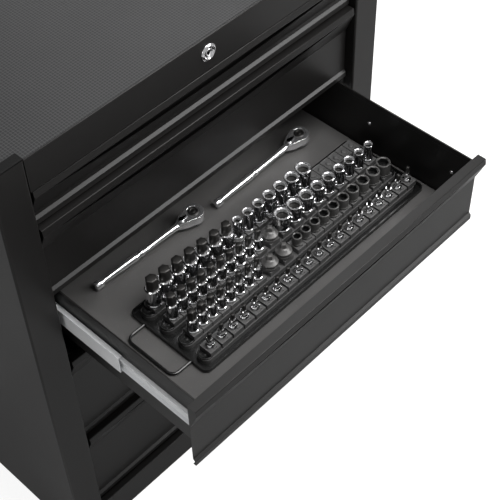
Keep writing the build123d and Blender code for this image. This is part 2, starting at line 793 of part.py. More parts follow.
# Drive adapters: a wide flange, a shoulder and a square tang.
adapter_places = [(clip_x(place), third_row) for place in third_adapter_places]
adapter_places += [(clip_x(place), second_row) for place in second_adapter_places]
with BuildPart() as drive_adapters:
    for place in adapter_places:
        with BuildSketch(Plane.XY.offset(socket_base)):
            with Locations(place):
                RegularPolygon(adapter_flange_radius, socket_sides)
        extrude(amount=adapter_flange_height)
        with BuildSketch(Plane.XY.offset(socket_base + adapter_flange_height)):
            with Locations(place):
                RegularPolygon(adapter_shoulder_radius, socket_sides)
        extrude(amount=adapter_shoulder_height, taper=adapter_taper)
        with BuildSketch(Plane.XY.offset(socket_base + adapter_flange_height + adapter_shoulder_height)):
            with Locations(place):
                Rectangle(adapter_square, adapter_square, rotation=45)
        extrude(amount=adapter_square_length)
drive_adapters.part.label = "drive_adapters"
export_step(drive_adapters.part, "parts/drive_adapters.step")

with BuildPart() as small_sockets:
    with BuildSketch(Plane.XY.offset(socket_base)):
        with Locations(*[(clip_x(place), front_row) for place in small_places]):
            RegularPolygon(small_base_radius, small_tool_sides)
    extrude(amount=small_base_height)
    with BuildSketch(Plane.XY.offset(socket_base + small_base_height)):
        with Locations(*[(clip_x(place), front_row) for place in small_places]):
            RegularPolygon(small_barrel_radius, small_tool_sides)
    extrude(amount=small_barrel_height - small_base_height)
    with BuildSketch(Plane.XY.offset(socket_base + small_barrel_height)):
        with Locations(*[(clip_x(place), front_row) for place in small_places]):
            RegularPolygon(small_tip_width / 2, 6, major_radius=False)
    extrude(amount=small_height - small_barrel_height)
small_sockets.part.label = "small_sockets"
export_step(small_sockets.part, "parts/small_sockets.step")


# ---------------------------------------------------------------------------------- the ratchets
half_head = ratchet_head_height / 2
ratchet_length = (2 * box_half - left_ratchet_gap - ratchets_gap - right_ratchet_gap) / 2
drop_at_head = half_head + drive_square_length
ratchet_tilt = degrees(atan2(drop_at_head - ratchet_grip_radius, ratchet_length))

# Each piece is made with the handle's end at the origin, along +X, and placed in the drawer last.
neck_x = ratchet_length - neck_share * ratchet_head_radius
belly_x = grip_share * ratchet_length
handle_sections = (
    (0, ratchet_grip_radius - grip_cap_edge), (grip_cap_edge, ratchet_grip_radius),
    (grip_cap_length, ratchet_grip_radius), (grip_cap_length + collar_slope, grip_waist_radius),
    (belly_x, grip_belly_radius), (belly_x + collar_slope, ratchet_neck_radius),
    (belly_x + 2 * collar_slope, collar_radius), (belly_x + collar_slope + collar_length, collar_radius),
    (belly_x + 2 * collar_slope + collar_length, ratchet_neck_radius), (neck_x, ratchet_neck_radius),
)
with BuildPart() as ratchet_body:
    for x, radius in handle_sections:
        with BuildSketch(Plane.YZ.offset(x)):
            RegularPolygon(radius, socket_sides)
    loft(ruled=True)
    # the head and the neck that widens into it
    with BuildSketch(Plane.XY.offset(-half_head)):
        with Locations((ratchet_length, 0)):
            RegularPolygon(ratchet_head_radius, round_sides)
        with BuildLine():
            Polyline(
                (neck_x, -ratchet_neck_radius), (ratchet_length, -ratchet_head_radius),
                (ratchet_length, ratchet_head_radius), (neck_x, ratchet_neck_radius),
                close=True,
            )
        make_face()
    extrude(amount=ratchet_head_height)
    with BuildSketch(Plane.XY.offset(-half_head)):
        with Locations((ratchet_length, 0)):
            RegularPolygon(drive_radius + drive_fit, round_sides, major_radius=False)
    extrude(amount=ratchet_head_height, mode=Mode.SUBTRACT)
    with BuildSketch(Plane.XY.offset(half_head)):
        with Locations((ratchet_length - lever_offset, 0)):
            RegularPolygon(lever_pin_radius + drive_fit, small_tool_sides, major_radius=False)
    extrude(amount=-(lever_pin_length + lever_clearance), mode=Mode.SUBTRACT)

with BuildPart() as ratchet_drive:
    with BuildSketch(Plane.XY.offset(-half_head)):
        with Locations((ratchet_length, 0)):
            RegularPolygon(drive_radius, round_sides)
    extrude(amount=ratchet_head_height + drive_rise)
    with BuildSketch(Plane.XY.offset(-half_head)):
        with Locations((ratchet_length, 0)):
            Rectangle(drive_square, drive_square)
    extrude(amount=-drive_square_length)

with BuildPart() as ratchet_lever:
    with BuildSketch(Plane.XY.offset(half_head + lever_clearance)):
        with Locations((ratchet_length - lever_offset, 0)):
            Rectangle(lever_length, lever_width)
    extrude(amount=lever_height)
    with BuildSketch(Plane.XY.offset(half_head + lever_clearance)):
        with Locations((ratchet_length - lever_offset, 0)):
            RegularPolygon(lever_pin_radius, small_tool_sides)
    extrude(amount=-lever_pin_length)

# where each handle ends, and the way it points
ratchet_places = {
    "left": (left_ratchet_gap - box_half, front_y + left_ratchet_setback, left_ratchet_yaw),
    "right": (box_half - right_ratchet_gap - ratchet_length, front_y + right_ratchet_setback, 0),
}
handle_level = liner_top + seat_clearance + ratchet_grip_radius
for side_name, (end_x, end_y, yaw) in ratchet_places.items():
    rest = Location((end_x, end_y, handle_level), (0, 0, yaw)) * Location((0, 0, 0), (0, -ratchet_tilt, 0))
    for piece_name, piece in (("body", ratchet_body), ("drive", ratchet_drive), ("lever", ratchet_lever)):
        with BuildPart() as placed:
            with Locations(rest):
                add(piece.part)
        placed.part.label = f"{side_name}_ratchet_{piece_name}"
        export_step(placed.part, f"parts/{side_name}_ratchet_{piece_name}.step")
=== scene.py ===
# %% [markdown]
# # A tool chest with an open socket drawer
# A black sheet-steel chest on ball-bearing slides. One drawer stands open on a grey liner with a
# railed socket tray and two ratchets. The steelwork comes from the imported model, and the small
# chromed and moulded things are modelled here, because their highlights are what the eye reads.

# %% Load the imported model
import bmesh
import bpy
import json
import math
from mathutils import Matrix, Vector


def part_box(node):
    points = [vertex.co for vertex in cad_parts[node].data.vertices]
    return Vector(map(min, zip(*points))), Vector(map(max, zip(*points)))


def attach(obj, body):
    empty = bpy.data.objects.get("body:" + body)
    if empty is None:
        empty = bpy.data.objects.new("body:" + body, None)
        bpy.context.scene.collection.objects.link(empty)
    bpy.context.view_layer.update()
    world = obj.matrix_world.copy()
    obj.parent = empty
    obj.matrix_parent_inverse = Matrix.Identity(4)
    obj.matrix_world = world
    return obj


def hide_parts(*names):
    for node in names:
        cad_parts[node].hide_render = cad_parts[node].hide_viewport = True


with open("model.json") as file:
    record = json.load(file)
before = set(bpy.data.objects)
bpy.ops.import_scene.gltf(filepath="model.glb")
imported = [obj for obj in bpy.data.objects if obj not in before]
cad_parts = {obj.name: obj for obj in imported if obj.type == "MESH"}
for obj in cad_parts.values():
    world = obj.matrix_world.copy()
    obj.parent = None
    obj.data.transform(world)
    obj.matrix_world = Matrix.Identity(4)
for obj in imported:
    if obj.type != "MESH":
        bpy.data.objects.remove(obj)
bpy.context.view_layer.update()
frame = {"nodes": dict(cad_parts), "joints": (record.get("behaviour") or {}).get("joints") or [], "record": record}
nodes = frame["nodes"]
joints = {joint["name"]: joint for joint in frame["joints"]}
MM = 0.001

# %% [markdown]
# ## The camera
# The photograph looks down on the open drawer from the front left, with a long lens. Its place
# and turn were worked out from the straight edges of the posts, fronts and drawer, so the camera
# is set from these few angles instead of being aimed by eye.

# %% Camera
CAMERA_PLACE = Vector((-0.8817, -1.1920, 1.9572))
CAMERA_YAW = math.radians(44.90)        # from +Y towards +X
CAMERA_PITCH = math.radians(48.87)      # below the horizon
CAMERA_ROLL = -0.0365
FOCAL_LENGTH = 86.8
SENSOR_WIDTH = 36.0

forward = Vector((math.sin(CAMERA_YAW) * math.cos(CAMERA_PITCH),
                  math.cos(CAMERA_YAW) * math.cos(CAMERA_PITCH), -math.sin(CAMERA_PITCH)))
level_right = Vector((math.cos(CAMERA_YAW), -math.sin(CAMERA_YAW), 0.0))
level_up = level_right.cross(forward)
right = math.cos(CAMERA_ROLL) * level_right + math.sin(CAMERA_ROLL) * level_up
up = -math.sin(CAMERA_ROLL) * level_right + math.cos(CAMERA_ROLL) * level_up

camera_data = bpy.data.cameras.new("photo_camera")
camera_data.lens, camera_data.sensor_width = FOCAL_LENGTH, SENSOR_WIDTH
camera_data.clip_start, camera_data.clip_end = 0.05, 50.0
camera = bpy.data.objects.new("photo_camera", camera_data)
bpy.context.scene.collection.objects.link(camera)
camera_turn = Matrix((right, up, -forward)).transposed().to_4x4()
camera.matrix_world = Matrix.Translation(CAMERA_PLACE) @ camera_turn
bpy.context.scene.camera = camera
print("camera looks along", [round(v, 3) for v in forward])

# %% [markdown]
# ## Shared surface patterns
# Powder coat, moulded plastic, rubber and plated steel all vary a little from place to place:
# fine grain, broader cloudy patches and a few small specks. One node group makes these, with the
# scale and strength of each as inputs, and every material uses it with its own values.

# %% Node helpers
def add_node(tree, kind, **settings):
    """Adds a shader node and sets its properties."""
    node = tree.nodes.new(kind)
    for name, value in settings.items():
        setattr(node, name, value)
    return node


def new_group(name, inputs, outputs):
    """An empty node group with float or colour inputs and outputs."""
    group = bpy.data.node_groups.new(name, "ShaderNodeTree")
    for label, kind, default in inputs:
        socket = group.interface.new_socket(label, in_out="INPUT", socket_type=kind)
        socket.default_value = default
    for label, kind in outputs:
        group.interface.new_socket(label, in_out="OUTPUT", socket_type=kind)
    return group, add_node(group, "NodeGroupInput"), add_node(group, "NodeGroupOutput")


def math_node(tree, operation, first, second, third=None):
    """A math node whose operands are sockets or plain numbers; returns its output."""
    node = add_node(tree, "ShaderNodeMath", operation=operation)
    for slot, value in enumerate((first, second, third)):
        if value is None:
            continue
        if isinstance(value, (int, float)):
            node.inputs[slot].default_value = value
        else:
            tree.links.new(value, node.inputs[slot])
    return node.outputs[0]


# %% Surface grain group
FLOAT, COLOUR = "NodeSocketFloat", "NodeSocketColor"
SPECK_SCALE, SPECK_SIZE, SPECK_COLOUR = 160.0, 0.07, (0.22, 0.21, 0.2, 1)
grain, grain_in, grain_out = new_group(
    "surface_grain",
    [("Base Color", COLOUR, (0.5, 0.5, 0.5, 1)), ("Patch Color", COLOUR, (0.4, 0.4, 0.4, 1)),
     ("Grain Scale", FLOAT, 900.0), ("Patch Scale", FLOAT, 9.0), ("Roughness", FLOAT, 0.5),
     ("Roughness Spread", FLOAT, 0.1), ("Speck Amount", FLOAT, 0.0)],
    [("Color", COLOUR), ("Roughness", FLOAT), ("Height", FLOAT)])
links = grain.links
place = add_node(grain, "ShaderNodeTexCoord").outputs["Object"]
fine = add_node(grain, "ShaderNodeTexNoise")
fine.inputs["Detail"].default_value = 3.0
links.new(place, fine.inputs["Vector"])
links.new(grain_in.outputs["Grain Scale"], fine.inputs["Scale"])
broad = add_node(grain, "ShaderNodeTexNoise")
broad.inputs["Detail"].default_value = 4.0
links.new(place, broad.inputs["Vector"])
links.new(grain_in.outputs["Patch Scale"], broad.inputs["Scale"])
specks = add_node(grain, "ShaderNodeTexVoronoi")
specks.inputs["Scale"].default_value = SPECK_SCALE
links.new(place, specks.inputs["Vector"])
speck = math_node(grain, "LESS_THAN", specks.outputs["Distance"], SPECK_SIZE)
speck = math_node(grain, "MULTIPLY", speck, grain_in.outputs["Speck Amount"])
patch_mix = add_node(grain, "ShaderNodeMix", data_type="RGBA")
links.new(broad.outputs["Fac"], patch_mix.inputs["Factor"])
links.new(grain_in.outputs["Base Color"], patch_mix.inputs["A"])
links.new(grain_in.outputs["Patch Color"], patch_mix.inputs["B"])
speck_mix = add_node(grain, "ShaderNodeMix", data_type="RGBA", blend_type="ADD")
speck_mix.inputs["B"].default_value = SPECK_COLOUR
links.new(speck, speck_mix.inputs["Factor"])
links.new(patch_mix.outputs["Result"], speck_mix.inputs["A"])
links.new(speck_mix.outputs["Result"], grain_out.inputs["Color"])
spread = math_node(grain, "SUBTRACT", broad.outputs["Fac"], 0.5)
spread = math_node(grain, "MULTIPLY_ADD", spread, grain_in.outputs["Roughness Spread"],
                   grain_in.outputs["Roughness"])
links.new(spread, grain_out.inputs["Roughness"])
links.new(fine.outputs["Fac"], grain_out.inputs["Height"])
print("surface_grain has", len(grain.nodes), "nodes")

# %% [markdown]
# ## The mat's dimples
# The top mat is pressed with rows of small round pits. Two crossed sine waves make such a grid
# without an image, and the same pattern paints the pits darker: painted shade in the mat's hollows.

# %% Dimple pattern group
dimples, dimples_in, dimples_out = new_group(
    "mat_dimples",
    [("Base Color", COLOUR, (0.1, 0.1, 0.1, 1)), ("Pit Shade Color", COLOUR, (0.05, 0.05, 0.05, 1)),
     ("Spacing", FLOAT, 0.004)],
    [("Color", COLOUR), ("Height", FLOAT)])
across = add_node(dimples, "ShaderNodeSeparateXYZ")
dimples.links.new(add_node(dimples, "ShaderNodeTexCoord").outputs["Object"], across.inputs[0])
waves = []
for axis in ("X", "Y"):
    turns = math_node(dimples, "DIVIDE", across.outputs[axis], dimples_in.outputs["Spacing"])
    waves.append(math_node(dimples, "SINE", math_node(dimples, "MULTIPLY", turns, math.pi), 0.0))
pit = math_node(dimples, "ABSOLUTE", math_node(dimples, "MULTIPLY", waves[0], waves[1]), 0.0)
pit = math_node(dimples, "SMOOTH_MIN", math_node(dimples, "MULTIPLY", pit, 1.6), 1.0, 0.2)
# The pits are painted darker than the mat: painted shade in its hollows.
dimple_mix = add_node(dimples, "ShaderNodeMix", data_type="RGBA")
dimples.links.new(pit, dimple_mix.inputs["Factor"])
dimples.links.new(dimples_in.outputs["Base Color"], dimple_mix.inputs["A"])
dimples.links.new(dimples_in.outputs["Pit Shade Color"], dimple_mix.inputs["B"])
dimples.links.new(dimple_mix.outputs["Result"], dimples_out.inputs["Color"])
dimples.links.new(math_node(dimples, "SUBTRACT", 1.0, pit), dimples_out.inputs["Height"])
print("mat_dimples has", len(dimples.nodes), "nodes")

# %% [markdown]
# ## One maker for all materials
# Every finish is the same shader with other values, so a function builds it. What varies over the
# surface comes from the group, and what is the same all over is set on the shader itself.

# %% Material maker
def grained_material(name, base, patch, roughness, metallic=0.0, grain_scale=900.0,
                     patch_scale=9.0, spread=0.12, specks=0.0, bump=0.15, specular=0.5):
    """A Principled material that takes its colour, roughness and bump from surface_grain."""
    material = bpy.data.materials.new(name)
    material.use_nodes = True
    tree = material.node_tree
    shader = tree.nodes["Principled BSDF"]
    group = add_node(tree, "ShaderNodeGroup", node_tree=grain)
    for label, value in (("Base Color", (*base, 1)), ("Patch Color", (*patch, 1)),
                         ("Grain Scale", grain_scale), ("Patch Scale", patch_scale),
                         ("Roughness", roughness), ("Roughness Spread", spread),
                         ("Speck Amount", specks)):
        group.inputs[label].default_value = value
    ripple = add_node(tree, "ShaderNodeBump")
    ripple.inputs["Strength"].default_value = bump
    ripple.inputs["Distance"].default_value = 0.0002
    tree.links.new(group.outputs["Color"], shader.inputs["Base Color"])
    tree.links.new(group.outputs["Roughness"], shader.inputs["Roughness"])
    tree.links.new(group.outputs["Height"], ripple.inputs["Height"])
    tree.links.new(ripple.outputs["Normal"], shader.inputs["Normal"])
    shader.inputs["Metallic"].default_value = metallic
    shader.inputs["Specular IOR Level"].default_value = specular
    return material


# %% [markdown]
# ## The finishes
# The cabinet is powder-coated: nearly black, half glossy, with a fine ripple. Its caps, the tray
# and the clips are moulded plastic, the liner and the top mat are rubber, and the slides bright
# zinc. The tools are polished or satin chrome, black oxide or matt black, and the inside of a
# socket's bore is plain steel.

# %% Finishes of the cabinet
powder_coat = grained_material(
    "black_powder_coat", (0.0085, 0.008, 0.0078), (0.006, 0.0056, 0.0054), 0.36,
    grain_scale=1400.0, patch_scale=5.0, spread=0.06, bump=0.06, specular=0.24)
cap_moulding = grained_material(
    "cap_moulding", (0.004, 0.004, 0.004), (0.003, 0.003, 0.003), 0.45,
    grain_scale=2500.0, bump=0.1, specular=0.06)
liner_rubber = grained_material(
    "grey_liner_rubber", (0.105, 0.102, 0.1), (0.062, 0.06, 0.059), 0.5,
    grain_scale=1500.0, patch_scale=14.0, specks=0.4, bump=0.15)
zinc = grained_material(
    "bright_zinc", (0.97, 0.98, 0.99), (0.9, 0.91, 0.92), 0.24, metallic=0.15,
    grain_scale=1800.0, patch_scale=30.0, spread=0.1, bump=0.02)
mat_rubber = grained_material(
    "top_mat_rubber", (0.075, 0.075, 0.076), (0.06, 0.06, 0.061), 0.5,
    grain_scale=1500.0, patch_scale=6.0, bump=0.15, specular=0.2)

# %% Finishes of the tray and the tools
chrome = grained_material(
    "polished_chrome", (0.78, 0.78, 0.79), (0.66, 0.66, 0.67), 0.09, metallic=1.0,
    grain_scale=1200.0, patch_scale=60.0, spread=0.08, bump=0.02)
satin_chrome = grained_material(
    "satin_chrome", (0.9, 0.9, 0.91), (0.8, 0.8, 0.81), 0.15, metallic=0.92,
    grain_scale=1500.0, patch_scale=60.0, spread=0.1, bump=0.03)
black_oxide = grained_material(
    "black_oxide", (0.06, 0.058, 0.056), (0.035, 0.034, 0.033), 0.36, metallic=0.85,
    grain_scale=2600.0, patch_scale=90.0, bump=0.1)
impact_black = grained_material(
    "impact_black", (0.11, 0.108, 0.106), (0.08, 0.078, 0.076), 0.42, metallic=0.5,
    grain_scale=2600.0, patch_scale=90.0, bump=0.1)
bore_steel = grained_material(
    "bore_steel", (0.8, 0.8, 0.81), (0.7, 0.7, 0.71), 0.3, metallic=0.75,
    grain_scale=2600.0, patch_scale=90.0, bump=0.03)
tray_moulding = grained_material(
    "tray_moulding", (0.008, 0.008, 0.008), (0.005, 0.005, 0.005), 0.25,
    grain_scale=3000.0, bump=0.15)
clip_moulding = grained_material(
    "clip_moulding", (0.1, 0.099, 0.098), (0.075, 0.074, 0.074), 0.38,
    grain_scale=3200.0, bump=0.12)

# %% The mat's colour and relief
mat_tree = mat_rubber.node_tree
dimpled = add_node(mat_tree, "ShaderNodeGroup", node_tree=dimples)
# The pit colour is painted shade for the mat's pits.
dimpled.inputs["Base Color"].default_value = (0.03, 0.03, 0.031, 1)
dimpled.inputs["Pit Shade Color"].default_value = (0.009, 0.009, 0.0095, 1)
dimpled.inputs["Spacing"].default_value = 0.0045
mat_shader = mat_tree.nodes["Principled BSDF"]
mat_tree.links.new(dimpled.outputs["Color"], mat_shader.inputs["Base Color"])
mat_relief = next(node for node in mat_tree.nodes if node.type == "BUMP")
mat_relief.inputs["Strength"].default_value = 0.3
mat_relief.inputs["Distance"].default_value = 0.0004
mat_tree.links.new(dimpled.outputs["Height"], mat_relief.inputs["Height"])

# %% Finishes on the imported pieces
FINISH_OF_SLOT = {
    "black_paint": powder_coat, "cap_plastic": cap_moulding, "grey_mat": mat_rubber,
    "grey_liner": liner_rubber, "zinc_steel": zinc, "lock_chrome": chrome,
    "tray_plastic": tray_moulding, "rail_plastic": clip_moulding, "tool_chrome": chrome,
    "impact_black": impact_black}
for part in frame["record"]["subparts"]:
    mesh = nodes[part["node"]].data
    mesh.materials.clear()
    mesh.materials.append(FINISH_OF_SLOT[part["material_slot"]])

# %% [markdown]
# ## Folded edges
# Folded sheet and moulded plastic have no sharp edges: each edge carries a thin highlight. The
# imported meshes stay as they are, and modifiers weld their loose triangles and round the edges.

# %% Folded edges
SOFT_EDGE_MM = {"side_panel": 0.5, "_front": 0.5, "_box": 0.3, "lock_strip": 0.3,
                "top_mat": 1.2, "_liner": 0.4, "socket_tray": 0.6, "slides": 0.2}
softened = []
for node_name, node in nodes.items():
    widths = [width for key, width in SOFT_EDGE_MM.items() if key in node_name]
    if not widths:
        continue
    weld = node.modifiers.new("weld", "WELD")
    weld.merge_threshold = 0.00001
    bevel = node.modifiers.new("soft_edges", "BEVEL")
    bevel.width, bevel.segments = widths[0] * MM, 2
    bevel.limit_method, bevel.angle_limit = "ANGLE", math.radians(40)
    bevel.harden_normals = True
    bevel.loop_slide = False      # sliding along the sheet throws a corner out of the panel
    softened.append(node_name)
print("softened the edges of", len(softened), "packed pieces")

# %% [markdown]
# ## Modelling tools
# Most small pieces here are turned or moulded. A turned piece starts as a disc and is extruded
# ring by ring, as a lathe would cut it, and a ring can be pulled into flats or points to make a
# hexagon or a twelve-point opening. A few helpers keep the selections short.

# %% Selecting
def start(kind, name, **settings):
    """Adds a primitive with nothing else selected, and opens it in edit mode."""
    bpy.ops.object.select_all(action="DESELECT")
    getattr(bpy.ops.mesh, f"primitive_{kind}_add")(**settings)
    piece = bpy.context.object
    piece.name = name
    bpy.ops.object.mode_set(mode="EDIT")
    return piece


def select_faces(piece, test):
    """Selects only the faces that pass the test."""
    bpy.ops.mesh.select_mode(type="FACE")
    bpy.ops.mesh.select_all(action="DESELECT")
    mesh = bmesh.from_edit_mesh(piece.data)
    for face in mesh.faces:
        face.select = test(face)
    mesh.select_flush_mode()
    bmesh.update_edit_mesh(piece.data)


def select_ring(piece, height, radius, chosen, sides):
    """Selects those points of one ring whose steps round it are chosen."""
    bpy.ops.mesh.select_mode(type="VERT")
    bpy.ops.mesh.select_all(action="DESELECT")
    mesh = bmesh.from_edit_mesh(piece.data)
    for point in mesh.verts:
        on_ring = abs(point.co.z - height) < 1e-6 and abs(point.co.xy.length - radius) < 1e-5
        step = round(math.atan2(point.co.y, point.co.x) / (2 * math.pi) * sides) % sides
        point.select = on_ring and chosen(step)
    mesh.select_flush(True)
    bmesh.update_edit_mesh(piece.data)


def extrude(offset):
    """Extrudes the selected faces by an offset in metres."""
    bpy.ops.mesh.extrude_region_move(TRANSFORM_OT_translate={"value": offset})


def face_outwards():
    """Turns all faces outwards and leaves edit mode."""
    bpy.ops.mesh.select_all(action="SELECT")
    bpy.ops.mesh.normals_make_consistent(inside=False)
    bpy.ops.object.mode_set(mode="OBJECT")


# %% Turning
# Scales of successive points of a 24-sided ring, which give it flats or points.
HEXAGON = (1.0, 0.8966, 0.8660, 0.8966)
TWELVE_POINT = (1.0, 0.88)
STAR = (1.0, 0.86, 0.74, 0.86)
SQUARE = (1.0, 0.816, 0.7320, 0.7071, 0.7320, 0.816)
ROUND = (1.0,)


def turned(name, rings, sides=24):
    """A turned piece on the Z axis. A ring is (height, radius) or (height, radius, scales), in mm.
    A ring at the height of the one before is an inset, and a lower one goes down into a bore."""
    height, radius = rings[0][0] * MM, rings[0][1] * MM
    piece = start("circle", name, vertices=sides, radius=radius, fill_type="NGON",
                  location=(0, 0, height))
    bpy.ops.object.mode_set(mode="OBJECT")
    bpy.ops.object.transform_apply(location=True, rotation=True, scale=True)
    bpy.ops.object.mode_set(mode="EDIT")
    bpy.ops.mesh.select_all(action="SELECT")
    shaped = []
    for ring in rings[1:]:
        next_height, next_radius = ring[0] * MM, ring[1] * MM
        extrude((0, 0, next_height - height))
        scale = next_radius / radius
        bpy.ops.transform.resize(value=(scale, scale, 1), center_override=(0, 0, next_height))
        height, radius = next_height, next_radius
        if len(ring) > 2:
            shaped.append((height, radius, ring[2]))
    for height, radius, scales in shaped:
        for scale in sorted(set(scales) - {1.0}):
            select_ring(piece, height, radius,
                        lambda step: scales[step % len(scales)] == scale, sides)
            bpy.ops.transform.resize(value=(scale, scale, 1), center_override=(0, 0, height))
    face_outwards()
    return piece


def soften(piece, width, segments=2, angle=50):
    """Rounds the sharp edges and smooths the shading. The width is in mm."""
    bpy.ops.object.select_all(action="DESELECT")
    piece.select_set(True)
    bpy.context.view_layer.objects.active = piece
    bevel = piece.modifiers.new("round_edges", "BEVEL")
    bevel.width, bevel.segments = width * MM, segments
    bevel.limit_method, bevel.angle_limit = "ANGLE", math.radians(angle)
    bpy.ops.object.modifier_apply(modifier=bevel.name)
    bpy.ops.object.shade_smooth_by_angle(angle=math.radians(35))
    return piece


# %% Placing and dressing
def shifted(x, y, z):
    """A placing that moves by x, y and z, in metres."""
    return Matrix.Translation((x, y, z))


def copy_at(master, placing):
    """A copy of a master with its own mesh, which is moved to its place."""
    twin = master.copy()
    twin.data = master.data.copy()
    twin.data.transform(placing)
    bpy.context.scene.collection.objects.link(twin)
    return twin


def copies(master, placings):
    """Copies of a master at several places; the master is removed."""
    made = [copy_at(master, placing) for placing in placings]
    bpy.data.objects.remove(master)
    return made


def joined(name, parts):
    """Joins parts into one piece with its place in its mesh."""
    bpy.ops.object.select_all(action="DESELECT")
    for part in parts:
        part.select_set(True)
    bpy.context.view_layer.objects.active = parts[0]
    bpy.ops.object.join()
    piece = bpy.context.object
    piece.name = name
    bpy.ops.object.transform_apply(location=True, rotation=True, scale=True)
    return piece


def dress(piece, material, body, slot, *replaced):
    """Gives a finished piece its material, body and the CAD nodes that it stands for; its slot is not used."""
    piece.data.materials.clear()
    piece.data.materials.append(material)
    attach(piece, body)
    if replaced:
        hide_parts(*replaced)
    print(piece.name, "rides on", body, "with", len(piece.data.polygons), "faces")
    return piece


# %% [markdown]
# ## Places on the rails
# The clips slide freely on the real rails, so the sockets stand as close as their sizes let them.
# Each row's places follow a short formula in clip pitches, read from the photograph.

# %% Places on the rails
clips_low, clips_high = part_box("socket_clips")
PITCH_MM, RAIL_PITCH = 24, 0.0395
CLIP_PITCH = PITCH_MM * MM
CLIP_LENGTH, CLIP_DEPTH, CLIP_GAP = 0.021, 0.024, 0.0012
first_clip_x = clips_low.x + CLIP_LENGTH / 2
clip_rows = [clips_low.y + CLIP_DEPTH / 2 + RAIL_PITCH * row for row in range(4)]
clip_top = clips_high.z


def on_clip(place, row):
    """The middle of a clip's top. Places count from the left, and rows from the front."""
    return shifted(first_clip_x + CLIP_PITCH * place, clip_rows[row], clip_top)


small_places = [1.0 * size for size in range(20)]
second_bit_places = [0.15 + 0.82 * size for size in range(8)]
second_adapter_places = [7.1, 8.4]
impact_places = [9.68 + 0.82 * size + 0.0165 * size ** 2 for size in range(10)]
third_bit_places = [0.05 + 0.85 * size for size in range(10)]
third_adapter_places = [8.86]
shallow_places = [10.05 + 1.19 * size - 0.0125 * size ** 2 for size in range(9)]
back_bit_places = [1.09 * size for size in range(7)]
deep_places = [7.54 + 0.96 * size + 0.017 * size ** 2 for size in range(7)]
empty_places = [14.98 + 0.8 * size for size in range(6)]
rail_places = (small_places,
               second_bit_places + second_adapter_places + impact_places,
               third_bit_places + third_adapter_places + shallow_places,
               back_bit_places + deep_places + empty_places)
print("clips start at", round(first_clip_x, 4), "rows", [round(y, 4) for y in clip_rows])

# %% [markdown]
# ## Chrome sockets
# A chrome socket has a drive end of nearly one size for all, a grooved grip band, and a wrench end
# that grows or shrinks with its size and opens in twelve points. Each size is turned with its own
# radii, as the real set is. Polished walls that mirror each other in a deep bore look like
# crumpled foil, so the bore is lined with plainer steel, and a black disc a little way down it is
# painted shade for the dark depth of the bore.

# %% Chrome sockets
BORE_SHARE = 0.86                 # of a socket's outer radius
DEEP_HEIGHT, SHALLOW_HEIGHT = 39.0, 33.5


def chrome_socket(radius, height):
    """A chrome socket whose wrench end has the given outer radius and height, in mm."""
    drive = min(radius + 0.6, 4.8 + radius * 0.55)
    bore = radius * BORE_SHARE
    return soften(turned("chrome_socket", [
        (0, drive - 0.9), (0.9, drive), (3.4, drive), (4.1, drive - 0.8), (5.3, drive - 0.8),
        (6.0, drive), (height * 0.36, drive), (height * 0.5, radius), (height - 0.6, radius),
        (height, radius - 0.6), (height, bore + 0.5), (height - 1.2, bore + 0.1),
        (height - 1.6, bore, TWELVE_POINT), (height - 17, bore, TWELVE_POINT),
        (height - 17, bore * 0.6), (height - 21, bore * 0.6)]), 0.12, 1, 75)


def bore_lining(height, bore, top, bottom, scales):
    """A sleeve inside a bore, from top to bottom under the socket's rim, closed at its bottom."""
    return turned("bore_lining", [
        (height - bottom - 1.5, bore * 0.97), (height - top, bore * 0.97),
        (height - top, bore * 0.9, scales), (height - bottom, bore * 0.88, scales),
        (height - bottom, bore * 0.4)])


chrome_sizes = [(PITCH_MM * (0.35 + 0.0375 * size), DEEP_HEIGHT, on_clip(place, 3))
                for size, place in enumerate(deep_places)]
chrome_sizes += [(PITCH_MM * (0.59 - 0.031 * size), SHALLOW_HEIGHT, on_clip(place, 2))
                 for size, place in enumerate(shallow_places)]
chrome_parts, flute_parts, bore_shade_parts = [], [], []
for radius, height, placing in chrome_sizes:
    bore = radius * BORE_SHARE
    chrome_parts += copies(chrome_socket(radius, height), [placing])
    flute_parts += copies(bore_lining(height, bore, 1.8, 9.0, TWELVE_POINT), [placing])
    # A black disc a little way down each bore is painted shade, not a part of the socket.
    bore_shade_parts += copies(bore_lining(height, bore * 0.85, 7.4, 8.8, ROUND), [placing])
dress(joined("chrome_wrench_sockets", chrome_parts), chrome, "socket_tray", "tool_chrome",
      "chrome_sockets")
dress(joined("wrench_socket_flutes", flute_parts), bore_steel, "socket_tray", "tool_chrome")
dress(joined("wrench_socket_bore_shades", bore_shade_parts), black_oxide, "socket_tray", "impact_black")

# %% [markdown]
# ## Bit sockets
# A bit socket is a chrome drive barrel with a dark steel key pressed into it: hexagonal in two
# rows and star-shaped in one. Barrel and key are turned apart, because their finishes differ.

# %% Bit sockets
BARREL_SHARE = 0.62               # of a bit socket's height
BARREL_GAP = 0.4                  # half the gap between neighbouring barrels
FLAT_TO_CORNER = 0.866
barrel_parts, key_parts = [], []
